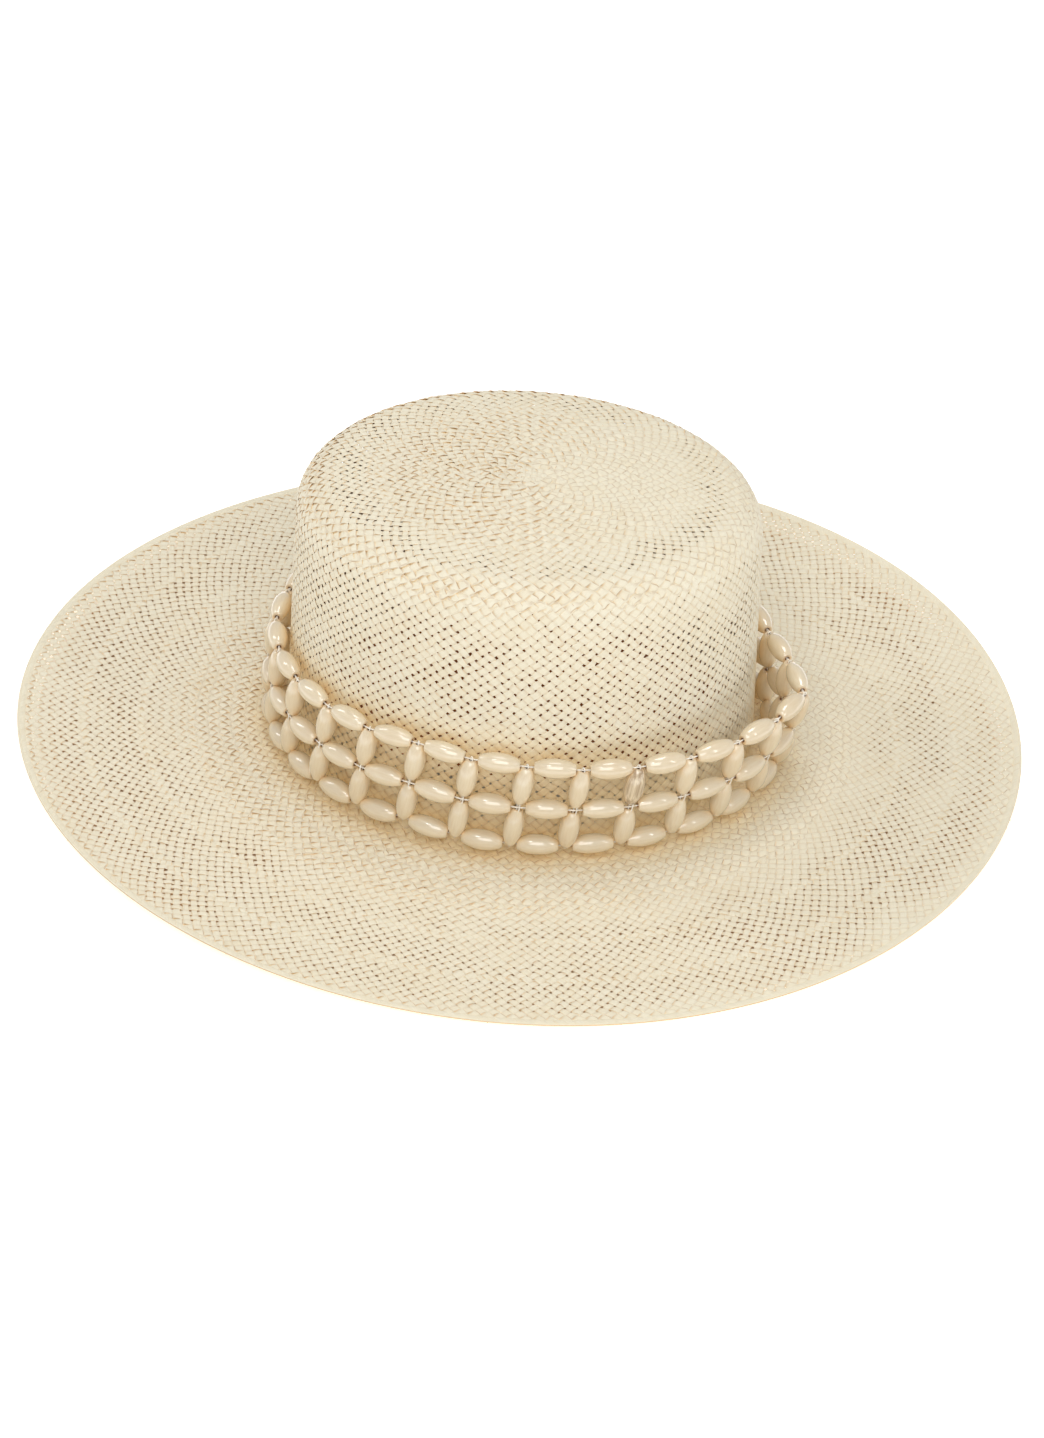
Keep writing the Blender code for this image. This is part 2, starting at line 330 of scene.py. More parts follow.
def straw_material():
    """Pale palm straw: fine streaks along each strand, painted shade in tan in the grooves between strands,
    and painted warm bounce light where strands close each other in.
    """
    straw = Shader("woven_straw", roughness=0.62, specular=0.35)
    place = straw.attribute("strand_place", "Vector")
    streaks = straw.noise(straw.stretched(place, (1.0, 0.035, 1.0)), 5200.0, 3.0)
    blotches = straw.noise(place, 160.0)
    cream = straw.ramp(streaks, 0.3, 0.72, (0.76, 0.695, 0.535), (0.83, 0.785, 0.65))
    aged = straw.mix(straw.math("MULTIPLY", blotches, 0.25), cream, (0.78, 0.69, 0.49))
    toned = straw.mix(straw.attribute("strand_tint"), aged, (0.74, 0.63, 0.43))
    # Painted shade: tan in the grooves between strands, on faces woven under and along lifted edges.
    groove_shaded = straw.mix(straw.attribute("groove"), toned, (0.36, 0.18, 0.055))
    # Painted warm bounce light where neighbouring strands close the straw in.
    straw.feed("Base Color", straw.painted_bounce_light(groove_shaded, 0.015, (1.34, 1.15, 0.80)))
    straw.feed("Roughness", straw.math("MULTIPLY_ADD", streaks, 0.2, 0.5))
    straw.bump(streaks, 0.35, 0.00008)
    return straw.material


def bead_material():
    """Pale wood under clear lacquer, with grain along the bead, a brown bore that is painted shade of the
    hole, and painted warm bounce light where beads close each other in.
    """
    wood = Shader("lacquered_wood", roughness=0.32, specular=0.5)
    grain_place = wood.attribute("bead_place", "Vector")
    grain = wood.noise(wood.stretched(grain_place, (1.0, 1.0, 0.09)), 1500.0, 4.0, 0.6)
    bands = wood.noise(wood.stretched(grain_place, (1.0, 1.0, 0.12)), 330.0, 2.0)
    pale = wood.ramp(grain, 0.25, 0.75, (0.72, 0.59, 0.40), (0.80, 0.71, 0.54))
    banded = wood.mix(wood.math("MULTIPLY", bands, 0.40), pale, (0.82, 0.67, 0.44))
    toned = wood.mix(wood.attribute("bead_tint"), banded, (0.70, 0.51, 0.29))
    streak_noise = wood.noise(wood.stretched(grain_place, (1.0, 1.0, 0.03)), 620.0, 3.0, 0.6)
    streaks = wood.ramp(streak_noise, 0.42, 0.58, (0.0, 0.0, 0.0), (0.8, 0.8, 0.8))
    streaky = wood.math("MULTIPLY", wood.attribute("bead_streaks"), streaks)
    streaked = wood.mix(streaky, toned, (0.34, 0.22, 0.12))
    # Painted shade: dark brown in the bore and round its mouth.
    bore_shaded = wood.mix(wood.attribute("bead_bore"), streaked, (0.30, 0.14, 0.06))
    # Painted warm bounce light where neighbouring beads and cords close the wood in.
    wood.feed("Base Color", wood.painted_bounce_light(bore_shaded, 0.006, (1.20, 1.05, 0.82)))
    wood.feed("Roughness", wood.math("MULTIPLY_ADD", grain, 0.12, 0.24))
    wood.set("Coat Weight", 1.0)
    wood.set("Coat Roughness", 0.045)
    wood.set("Coat IOR", 1.75)
    wood.bump(grain, 0.12, 0.00005)
    return wood.material


def cord_material():
    """Milky stretch cord."""
    cord = Shader("milky_cord", roughness=0.25)
    bands = cord.noise(cord.node("ShaderNodeTexCoord").outputs["Object"], 900.0)
    cord.feed("Base Color", cord.ramp(bands, 0.3, 0.7, (0.90, 0.82, 0.68), (0.97, 0.94, 0.87)))
    return cord.material


def ribbon_material():
    """Ivory grosgrain: its ribs are in the mesh, and its fine cross threads are here."""
    ribbon = Shader("grosgrain_ribbon", roughness=0.72, specular=0.3)
    place = ribbon.node("ShaderNodeTexCoord").outputs["Object"]
    inputs = {"Vector": place, "Scale": 620.0, "Distortion": 1.2}
    threads = ribbon.node("ShaderNodeTexWave", inputs, bands_direction="Z").outputs["Fac"]
    mottle = ribbon.noise(place, 420.0, 3.0)
    tone = ribbon.ramp(mottle, 0.3, 0.7, (0.66, 0.60, 0.46), (0.78, 0.72, 0.58))
    threaded = ribbon.mix(ribbon.math("MULTIPLY", threads, 0.18), tone, (0.52, 0.45, 0.32))
    ribbon.feed("Base Color", threaded)
    ribbon.set("Sheen Weight", 0.25)
    ribbon.bump(threads, 0.4, 0.00012)
    return ribbon.material


def thread_material():
    """Twisted cotton thread."""
    thread = Shader("cotton_thread", roughness=0.8, specular=0.25)
    place = thread.node("ShaderNodeTexCoord").outputs["Object"]
    twist = thread.noise(place, 2600.0, 2.0)
    thread.feed("Base Color", thread.ramp(twist, 0.3, 0.7, (0.70, 0.62, 0.46), (0.88, 0.82, 0.68)))
    thread.bump(twist, 0.5, 0.0001)
    return thread.material


def label_material():
    """A blank woven satin label."""
    label = Shader("label_cloth", roughness=0.5, specular=0.4)
    place = label.node("ShaderNodeTexCoord").outputs["Object"]
    inputs = {"Vector": place, "Scale": 1500.0}
    weft = label.node("ShaderNodeTexWave", inputs, bands_direction="Z").outputs["Fac"]
    label.feed("Base Color", label.ramp(weft, 0.1, 0.9, (0.80, 0.78, 0.72), (0.90, 0.89, 0.84)))
    label.set("Sheen Weight", 0.3)
    label.bump(weft, 0.3, 0.00006)
    return label.material


# ---------------------------------------------------------------- the straw sheet


def arc(centre, radius, start, end, steps=24):
    """(offset, height) points round a centre; an angle of 0 points up and 90 degrees points out."""
    turns = np.radians(np.linspace(start, end, steps))
    return np.stack([centre[0] + radius * np.sin(turns), centre[1] + radius * np.cos(turns)], 1)


def meridian():
    """Runs, offsets and heights down the sheet's middle, from the flat top's edge to the brim's."""
    wall_top = CROWN_HEIGHT - SHOULDER_RADIUS
    shoulder = arc((-TOP_INSET, wall_top), SHOULDER_RADIUS - SHEET / 2, 0, 90)
    brim_break = arc((BREAK_RADIUS, BREAK_RADIUS), BREAK_RADIUS + SHEET / 2, -90, -180)
    points = np.concatenate([shoulder, brim_break, [[BRIM_WIDTH, -SHEET / 2]]])
    points[:, 1] += SHEET
    lengths = np.linalg.norm(np.diff(points, axis=0), axis=1)
    runs = TOP_RADIUS + np.concatenate([[0], np.cumsum(lengths)])
    return runs, points[:, 0], points[:, 1]


RUNS, OFFSETS, HEIGHTS = meridian()
BRIM_EDGE_RUN = RUNS[-1]
BRIM_START_RUN = BRIM_EDGE_RUN - BRIM_WIDTH


def oval(angle, offset, height):
    """Points that stand `offset` outside the head oval, square to it, as arrays."""
    along, across = np.cos(angle), np.sin(angle)
    out_x, out_y = HEAD_HALF_WIDTH * along, HEAD_HALF_LENGTH * across
    size = np.hypot(out_x, out_y)
    x = HEAD_HALF_LENGTH * along + offset * out_x / size
    y = HEAD_HALF_WIDTH * across + offset * out_y / size
    return np.stack(np.broadcast_arrays(x, y, height), -1)


def sheet_point(angle, run):
    """The middle of the straw sheet, `run` metres out from the crown's centre."""
    share = np.minimum(run / TOP_RADIUS, 1)
    offset = np.interp(run, RUNS, OFFSETS)
    reach = np.maximum(0, (offset - BRIM_FLAT_WIDTH) / (BRIM_WIDTH - BRIM_FLAT_WIDTH))
    lift = BRIM_WAVE * (1 + np.cos(2 * (angle - BRIM_WAVE_ANGLE))) * reach**2
    height = np.interp(run, RUNS, HEIGHTS) + CROWN_DOME * (1 - share**2) + lift
    point = oval(angle, offset, height)
    point[..., :2] *= share[..., None]
    return point


def sheet_frame(angle, run):
    """The sheet's point, its outward normal, and how far a radian of turn carries there."""
    step_angle, step_run = 1e-3, 2e-4
    ahead, behind = sheet_point(angle + step_angle, run), sheet_point(angle - step_angle, run)
    around = (ahead - behind) / (2 * step_angle)
    outwards = sheet_point(angle, run + step_run) - sheet_point(angle, run - step_run)
    return sheet_point(angle, run), unit(np.cross(outwards, around)), np.linalg.norm(around, axis=-1)


def patches(angle, run, waves, seed):
    """Smooth noise over the sheet, about -1 to 1, that closes on itself round the crown."""
    rng = np.random.default_rng(seed)
    total = 0
    for _ in range(waves):
        lobes = rng.integers(2, 15)
        slope = rng.uniform(-260, 260)
        total = total + np.sin(lobes * angle + slope * run + rng.uniform(0, 2 * math.pi))
    return total / math.sqrt(waves)


# (share of the way out, how open the weave is there) over the crown's top, its wall and the brim.
TOP_OPENNESS = ((0.0, 0.10), (0.70, 0.12), (0.82, 0.45), (0.90, 0.85), (1.0, 0.90))
WALL_OPENNESS = (
    (0.0, 0.90), (0.03, 0.60), (0.06, 0.08), (0.11, 0.05),
    (0.17, 0.70), (0.30, 0.95), (0.85, 0.90), (1.0, 0.45),
)
BRIM_OPENNESS = (
    (0.0, 0.15), (0.15, 0.05), (0.33, 0.15), (0.42, 0.60), (0.52, 0.92),
    (0.88, 0.90), (0.94, 0.70), (0.97, 0.15), (1.0, 0.0),
)


def openness(angle, run):
    """0 where the strands are packed tight, 1 where they leave the largest holes."""
    stretches = (
        (0.0, TOP_RADIUS, TOP_OPENNESS),
        (TOP_RADIUS, BRIM_START_RUN, WALL_OPENNESS),
        (BRIM_START_RUN, BRIM_EDGE_RUN, BRIM_OPENNESS),
    )
    places, values = [], []
    for start, end, table in stretches:
        places += [start + share * (end - start) for share, _ in table]
        values += [value for _, value in table]
    base = np.interp(run, places, values)
    swing = OPENNESS_SWING * patches(angle, run, 6, 11)
    return np.clip(base + swing * np.minimum(1, 0.35 + 1.3 * base), 0, 1)


def strand_lines(lean, count, start, rings, step):
    """Angle, run and ring number of each sample of one family of strands, as strand by sample arrays."""
    ring = np.arange(2 * rings + 4) / 2 - 0.75
    turn = 2 * math.pi * (np.arange(count)[:, None] + lean * ring[None, :] / 2) / count
    run = np.broadcast_to(start + ring * step, turn.shape)
    return turn, run, ring


def swept_section(centre, reach, across, up):
    """The strand section's corners round each centre; `reach` holds how far across each corner lies."""
    rise = SECTION_RISE[:, None] * STRAND_THICKNESS / 2
    return centre[:, :, None] + reach * across[:, :, None] + rise * up[:, :, None]


def strand_part(points, place, tint, groove):
    """Strands as a mesh part: `points` run strand by strand, sample by sample, corner by corner."""
    shape = points.shape[:3]
    attributes = {
        "strand_place": np.stack(np.broadcast_arrays(*place), -1).reshape(-1, 3),
        "strand_tint": np.broadcast_to(tint, shape).ravel(),
        "groove": np.broadcast_to(groove, shape).ravel(),
    }
    return points.reshape(-1, 3), tube_faces(*shape), attributes


def strand_mesh(lean, count, start, rings, step, rng):
    """Points, faces and attributes of one family: flat ribbons that weave over and under the other."""
    turn, run, ring = strand_lines(lean, count, start, rings, step)
    samples = len(ring)
    opened = openness(turn, run)
    centre, normal, per_radian = sheet_frame(turn, run)
    spacing = per_radian * 2 * math.pi / count
    pitch = spacing * step / np.hypot(spacing / 2, step)

    strand_size = rng.normal(1.0, STRAND_WIDTH_SPREAD, (count, 1))
    float_size = rng.normal(1.0, FLOAT_WIDTH_SPREAD, (count, samples))
    width = pitch * (DENSE_WIDTH + (OPEN_WIDTH - DENSE_WIDTH) * opened) * strand_size * float_size
    wander = WANDER_SWING * patches(turn * 3, run * 2, 5, 5 + lean)
    wander = wander + rng.normal(0, WANDER_SPREAD, (count, samples))

    over = np.where(np.cos(math.pi * ring) > 0, 1.0, -1.0) * lean
    level = np.broadcast_to(over * WEAVE_DEPTH, turn.shape).copy()
    level[:, [0, -1]] = -(WEAVE_DEPTH + END_SINK)
    level += rng.normal(0, LEVEL_SPREAD, level.shape)

    along = unit(np.gradient(centre, axis=1))
    side = unit(np.cross(normal, along))
    tilt = STRAND_TILT * (1 - TILT_LOST_WHERE_OPEN * opened) * rng.normal(1, TILT_SPREAD, turn.shape)
    tilted_side = side * np.cos(tilt)[..., None] + normal * np.sin(tilt)[..., None]
    tilted_up = normal * np.cos(tilt)[..., None] - side * np.sin(tilt)[..., None]
    middle = centre + normal * level[..., None] + side * (wander * pitch)[..., None]

    reach = (SECTION_REACH * width[..., None] / 2)[..., None]
    points = swept_section(middle, reach, tilted_side, tilted_up)

    steps = np.linalg.norm(np.diff(centre, axis=1, prepend=centre[:, :1]), axis=-1)
    identity = rng.uniform(0, 1, (count, 1, 1))
    place = (reach[..., 0], np.cumsum(steps, axis=1)[..., None], identity)
    tint = np.clip(rng.beta(1.3, 6.0, (count, 1)) + TINT_SWING * patches(turn, run, 4, 23), 0, 1)
    # Painted shade along the lifted edge of each float: strong where the weave is dense, faint where it is
    # open, only where the strand lies over.
    edge = GROOVE_SHADE_AT_DENSE_EDGE + (GROOVE_SHADE_AT_OPEN_EDGE - GROOVE_SHADE_AT_DENSE_EDGE) * opened
    edge = edge * rng.uniform(0.1, 1.0, turn.shape) * (level > 0)
    return strand_part(points, place, tint[..., None] * STRAND_TINT_SPREAD, groove_shade_amount(level, edge))


def groove_shade_amount(level, edge):
    """How much painted shade each corner takes, as for a groove: any face that is woven under, and mostly
    the lifted edge.
    """
    buried = np.where(level[..., None] * SECTION_RISE < 0, GROOVE_SHADE_BURIED, 0.0)
    at_edge = np.select([SECTION_REACH == 1, SECTION_REACH == -1], [1.0, GROOVE_SHADE_AT_LOW_EDGE], 0.0)
    return buried + edge[..., None] * at_edge


def join_parts(parts):
    """One set of points, faces and attributes from several."""
    points, faces, attributes, base = [], [], {}, 0
    for part_points, part_faces, part_attributes in parts:
        points.append(part_points)
        faces += [block + base for block in part_faces]
        for key, values in part_attributes.items():
            attributes.setdefault(key, []).append(values)
        base += len(part_points)
    joined = {key: np.concatenate(values) for key, values in attributes.items()}
    return np.concatenate(points), faces, joined


def woven_parts(start, end, count, rng, families=(1, -1)):
    """The weave between two runs, as mesh parts: both families of strands, or one alone."""
    rings = max(1, round((end - start) / RING_STEP))
    step = (end - start) / rings
    return [strand_mesh(lean, count, start, rings, step, rng) for lean in families]


def girth(run):
    """How far it is round the sheet at a run."""
    turns = np.linspace(0, 2 * math.pi, 240, endpoint=False)
    return sheet_frame(turns, np.full_like(turns, run))[2].mean() * 2 * math.pi


def zones(start, end, growth):
    """Starts, ends and strand counts. Each zone's girth grows by about `growth`, so the next holds more."""
    found = []
    while start < end - RING_STEP:
        width = max(RING_STEP, (growth - 1) * girth(start) / (2 * math.pi))
        stop = end if start + 1.4 * width > end else start + width
        found.append((start, stop, round(girth((start + stop) / 2) / STRAND_SPACING)))
        start = stop + RING_STEP / 2
    return found


def flat_strand_frames(points):
    """Directions across and up from strands that lie on the crown's nearly level centre."""
    along = unit(np.gradient(points, axis=1))
    up = np.broadcast_to(np.array([0.0, 0.0, 1.0]), points.shape)
    return unit(np.cross(up, along)), up


def centre_patch(rng, lean):
    """Short straight strands of one direction at the crown's centre, where the weaving starts."""
    spots = (np.arange(CENTRE_STRANDS) - (CENTRE_STRANDS - 1) / 2) * CENTRE_PITCH
    ring = np.arange(2 * CENTRE_STRANDS + 2) / 2 - 0.75
    reach = (ring - (CENTRE_STRANDS - 1) / 2) * CENTRE_PITCH
    across = np.broadcast_to(spots[:, None], (CENTRE_STRANDS, len(ring)))
    along = np.broadcast_to(reach[None, :], across.shape)
    x, y = (along, across) if lean > 0 else (across, along)
    height = HEIGHTS[0] + CROWN_DOME * (1 - (x**2 + y**2) / TOP_RADIUS**2)
    crossing = np.cos(math.pi * np.round(ring)[None, :])
    over = crossing * np.cos(math.pi * np.arange(CENTRE_STRANDS))[:, None] * lean
    level = np.where(over > 0, WEAVE_DEPTH, -WEAVE_DEPTH)
    level[:, [0, -1]] = -(WEAVE_DEPTH + END_SINK)
    centre = np.stack([x, y, height + level], -1)
    side, up = flat_strand_frames(np.stack([x, y, height], -1))
    across_reach = SECTION_REACH * CENTRE_PITCH * DENSE_WIDTH / 2
    points = swept_section(centre, across_reach[:, None], side, up)
    place = (across_reach, along[..., None], rng.uniform(0, 1, (CENTRE_STRANDS, 1, 1)))
    # Painted shade along the centre strands' edges and where they lie woven under.
    groove = groove_shade_amount(level, np.full(level.shape, GROOVE_SHADE_AT_CENTRE))
    return strand_part(points, place, CENTRE_TINT, groove)


def edge_fold(rng):
    """Strand ends folded over the brim's edge and laid back under it, side by side on a slant."""
    count = round(girth(BRIM_EDGE_RUN) / STRAND_SPACING * EDGE_FOLD_CROWDING)
    inner = EDGE_FOLD_WIDTH - EDGE_FOLD_LEVEL
    flat = np.linspace(0, 1, 4)[:-1]
    turn = np.radians(np.linspace(0, 180, 5))
    bend_in, bend_up = -EDGE_FOLD_LEVEL * np.sin(turn), EDGE_FOLD_LEVEL * np.cos(turn)
    inward = np.concatenate([inner * (1 - flat), bend_in, inner * (1 - flat[::-1])])
    level = np.concatenate([np.full(3, EDGE_FOLD_LEVEL), bend_up, np.full(3, -EDGE_FOLD_LEVEL)])
    level[[0, -1]] = 0.0
    progress = np.linspace(-1, 1, len(inward))
    slant = EDGE_FOLD_SLANT * 2 * math.pi / count
    angle = 2 * math.pi * np.arange(count)[:, None] / count + slant * progress
    edge = EDGE_FOLD_LEVEL + STRAND_THICKNESS / 2 + EDGE_STRAND_RADIUS
    run = np.broadcast_to(BRIM_EDGE_RUN - edge - inward, angle.shape)
    centre, normal, per_radian = sheet_frame(angle, run)
    centre = centre + normal * (level + rng.normal(0, 0.00004, (count, 1)))[..., None]
    along = unit(np.gradient(centre, axis=1))
    around = unit(sheet_point(angle + 0.01, run) - sheet_point(angle - 0.01, run))
    outwards = unit(np.cross(along, around))
    spacing = per_radian * 2 * math.pi / count
    width = spacing * EDGE_FOLD_OVERLAP * rng.normal(1.0, STRAND_WIDTH_SPREAD, (count, 1))
    reach = SECTION_REACH * width[..., None] / 2
    points = swept_section(centre, reach[..., None], around, outwards)
    identity = rng.uniform(0, 1, (count, 1, 1))
    place = (reach, (progress * EDGE_FOLD_WIDTH)[None, :, None], identity)
    tint = np.clip(rng.beta(1.3, 6.0, (count, 1, 1)), 0, 1) * STRAND_TINT_SPREAD
    # Painted shade along the folded ends' side edges.
    return strand_part(points, place, tint, groove_shade_amount(np.zeros(1), np.full(1, GROOVE_SHADE_AT_FOLD)))


def edge_strand():
    """One strand laid round the brim outside the folded ends, which keeps its outline even."""
    angle = np.linspace(0, 2 * math.pi, EDGE_STRAND_STEPS, endpoint=False)
    run = np.full(len(angle), BRIM_EDGE_RUN - EDGE_STRAND_RADIUS)
    centre, normal, per_radian = sheet_frame(angle, run)
    outward = unit(centre - sheet_point(angle, run - EDGE_STRAND_RADIUS))
    turn = np.radians(np.linspace(-90, 270, 9))[:, None]
    points = centre + EDGE_STRAND_RADIUS * (
        np.cos(turn)[..., None] * outward + np.sin(turn)[..., None] * normal
    )
    travelled = np.cumsum(per_radian) * 2 * math.pi / len(angle)
    shape = points.shape[:2]
    place = np.stack(np.broadcast_arrays(turn * EDGE_STRAND_RADIUS, travelled, 0.5), -1)
    attributes = {
        "strand_place": place.reshape(-1, 3),
        "strand_tint": np.full(shape, EDGE_STRAND_TINT).ravel(),
        # Painted shade: darker on the underside of the edge strand.
        "groove": np.broadcast_to(np.clip(0.6 - 1.4 * np.sin(turn), 0, 0.6), shape).ravel(),
    }
    return points.reshape(-1, 3), [ring_faces(*shape)], attributes


def build_straw(finish):
    """The whole straw sheet as woven pieces: crown top, crown wall, rings of brim and its edge."""
    rng = np.random.default_rng(7)
    top_start = CENTRE_STRANDS * CENTRE_PITCH / 2
    wall_start = TOP_RADIUS + SHOULDER_ON_TOP * (SHOULDER_RADIUS - SHEET / 2) * math.pi / 2
    wall_end = BRIM_START_RUN + BREAK_RADIUS
    named = {"crown_top_weave": [centre_patch(rng, lean) for lean in (1, -1)]}
    for start, end, count in zones(top_start, wall_start - RING_STEP / 2, TOP_GROWTH):
        named["crown_top_weave"] += woven_parts(start, end, count, rng)
    wall_count = round(girth((wall_start + wall_end) / 2) / STRAND_SPACING)
    for lean, hand in ((1, "left"), (-1, "right")):
        named[f"crown_wall_{hand}_strands"] = woven_parts(wall_start, wall_end, wall_count, rng, (lean,))
    brim_zones = zones(wall_end + RING_STEP / 2, BRIM_EDGE_RUN - WEAVE_END_SETBACK, BRIM_GROWTH)
    for number, (start, end, count) in enumerate(brim_zones, 1):
        named[f"brim_weave_{number}"] = woven_parts(start, end, count, rng)
    named["brim_edge_fold"] = [edge_fold(rng), edge_strand()]
    for name, parts in named.items():
        claim([mesh_object(name, *join_parts(parts), finish)], "hat", "straw_body")


# ---------------------------------------------------------------- the bead net


def net_columns():
    """The net's nodes, column by column, from the upright beads' joints."""
    columns = []
    for joint in frame["joints"]:
        if not joint["name"].startswith("vertical_beads_"):
            continue
        middle, axis = np.array(joint["pos_m"]), np.array(joint["axis"])
        low = middle - axis * COLUMN_HALF_SPAN
        outward = unit(np.array([low[0], low[1], 0.0]))
        columns.append(
            {
                "body": joint["child"],
                "node": frame["record"]["behaviour"]["bodies"][joint["child"]][0],
                "axis": axis,
                "outward": outward,
                "centre": middle,
                "top": middle + axis * COLUMN_HALF_SPAN,
                "middle": middle + outward * MIDDLE_SETBACK,
                "bottom": low,
            }
        )
    return columns


def bead_profile(length):
    """(radius, place along the bead, painted shade of the bore) round one bead's section, from bore to skin
    to bore.
    """
    half = length / 2
    sweep = np.linspace(-0.965, 0.965, 13)
    barrel = BEAD_END_RADIUS + (BEAD_RADIUS - BEAD_END_RADIUS) * (1 - np.abs(sweep) ** 2.3)
    mouth = [(BEAD_BORE_RADIUS, -half + 0.0012, 1), (BEAD_BORE_RADIUS * 1.05, -half + 0.0002, 1)]
    rim = [(BEAD_BORE_RADIUS * 1.3, -half, 0.35), (BEAD_END_RADIUS * 0.86, -half, 0.1)]
    skin = [(radius, place * half, 0) for radius, place in zip(barrel, sweep)]
    start = mouth + rim
    return np.array(start + skin + [(radius, -place, bore) for radius, place, bore in start[::-1]])


def bead_part(centre, axis, length, rng, streaks=0.0):
    """One lathe-turned barrel bead with its bore, as a mesh part."""
    profile = bead_profile(length)
    axis = unit(np.array(axis, float))
    across = unit(np.cross(axis, [0.31, 0.22, 0.93] if abs(axis[2]) < 0.9 else [1.0, 0.0, 0.0]))
    other = np.cross(axis, across)
    turns = 2 * math.pi * np.arange(BEAD_SIDES) / BEAD_SIDES + rng.uniform(0, 6.28)
    plump = rng.normal(1.0, 0.02)
    fat = 1 + (plump - 1) * (profile[:, 0] > BEAD_END_RADIUS * 1.2)
    bend = 0.00012 * rng.normal(0, 1, 2)
    local_x = (profile[:, 0] * fat)[:, None] * np.cos(turns)
    local_y = (profile[:, 0] * fat)[:, None] * np.sin(turns)
    local_z = np.broadcast_to(profile[:, 1][:, None], local_x.shape)
    bow = 1 - (local_z / (length / 2)) ** 2
    local_x = local_x + bend[0] * bow
    local_y = local_y + bend[1] * bow
    points = centre + local_x[..., None] * across + local_y[..., None] * other + local_z[..., None] * axis
    shape = local_x.shape
    count = local_x.size
    grain_shift = rng.uniform(-1, 1, 3)
    place = np.stack([local_x, local_y, local_z], -1).reshape(-1, 3) + grain_shift
    attributes = {
        "bead_place": place,
        "bead_tint": np.full(count, np.clip(rng.beta(1.5, 5.0), 0, 1) * BEAD_TINT_SPREAD),
        "bead_streaks": np.full(count, streaks),
        "bead_bore": np.repeat(profile[:, 2], BEAD_SIDES),
    }
    return points.reshape(-1, 3), [ring_faces(*shape), closing_faces(*shape)], attributes


def cord_object(name, lines, finish, cyclic, radius=CORD_RADIUS):
    """Thin round cords along lists of points."""
    curve = bpy.data.curves.new(name, "CURVE")
    curve.dimensions = "3D"
    curve.bevel_depth = radius
    curve.bevel_resolution = 1
    curve.use_fill_caps = not cyclic
    for line in lines:
        spline = curve.splines.new("POLY")
        spline.points.add(len(line) - 1)
        for slot, point in zip(spline.points, line):
            slot.co = (*point, 1)
        spline.use_cyclic_u = cyclic
    curve.materials.append(finish)
    return link_object(name, curve)


def string_cords(nodes, columns):
    """Two threads that run side by side through one level string's beads."""
    lines = []
    for side in (-1, 1):
        line = []
        for number, here in enumerate(nodes):
            before, after = nodes[number - 1], nodes[(number + 1) % len(nodes)]
            gap = (np.linalg.norm(after - here) - LEVEL_BEAD_LENGTH) / 2
            arch = side * CORD_ARCH * unit(columns[number]["axis"] + columns[number]["outward"])
            back, ahead = unit(before - here), unit(after - here)
            line += [here + back * (gap + CORD_TUCK), here + back * gap * 0.8 + arch * 0.6]
            line += [here + arch, here + ahead * gap * 0.8 + arch * 0.6]
            line += [here + ahead * (gap + CORD_TUCK)]
        lines.append(line)
    return lines


def node_loops(nodes, columns, reaches):
    """The upright cord's loops round a level string, one at each node."""
    lines = []
    for number, here in enumerate(nodes):
        column = columns[number]
        along = unit(nodes[(number + 1) % len(nodes)] - nodes[number - 1])
        lean = unit(column["outward"] + LOOP_LEAN * along)
        low, high = reaches
        loop = []
        for turn in np.linspace(0, 2 * math.pi, LOOP_POINTS, endpoint=False):
            rise = (low + high) / 2 + (high - low) / 2 * math.sin(turn)
            loop.append(here + column["axis"] * rise + lean * LOOP_HALF_WIDTH * math.cos(turn))
        lines.append(loop)
    return lines


def build_net(wood, cord_finish):
    """The level strings with their cords and loops, then the pairs of upright beads between them."""
    columns = net_columns()
    rng = np.random.default_rng(3)
    reach = NODE_GAP + CORD_TUCK
    reaches = {"top": (-reach, LOOP_OVER), "middle": (-reach, reach), "bottom": (-LOOP_OVER, reach)}
    for level, loop_reach in reaches.items():
        nodes = [column[level] for column in columns]
        beads = []
        for here, there in zip(nodes, nodes[1:] + nodes[:1]):
            beads.append(bead_part((here + there) / 2, there - here, LEVEL_BEAD_LENGTH, rng))
        string = mesh_object(f"{level}_string_beads", *join_parts(beads), wood)
        threads, loops = string_cords(nodes, columns), node_loops(nodes, columns, loop_reach)
        cords = cord_object(f"{level}_string_cords", threads, cord_finish, True)
        ties = cord_object(f"{level}_node_loops", loops, cord_finish, True)
        claim([string, cords, ties], "bead_band", f"{level}_bead_string")
    for number, column in enumerate(columns, 1):
        beads = []
        for side in (-1, 1):
            centre = column["centre"] + side * column["axis"] * UPRIGHT_BEAD_CENTRE
            streaks = 1.0 if number == STREAKED_COLUMN and side > 0 else 0.0
            beads.append(bead_part(centre, column["axis"], UPRIGHT_BEAD_LENGTH, rng, streaks))
        pair = mesh_object(f"upright_beads_{number:02d}", *join_parts(beads), wood)
        line = [column["centre"] + side * column["axis"] * reach for side in (-1, 1)]
        cord = cord_object(f"upright_cord_{number:02d}", [line], cord_finish, False)
        claim([pair, cord], column["body"], column["node"])


# ---------------------------------------------------------------- inside the crown


def lining_offset(height):
    """The offset of the straw wall's inner face."""
    return -CROWN_TAPER * height / (CROWN_HEIGHT - SHOULDER_RADIUS) - SHEET


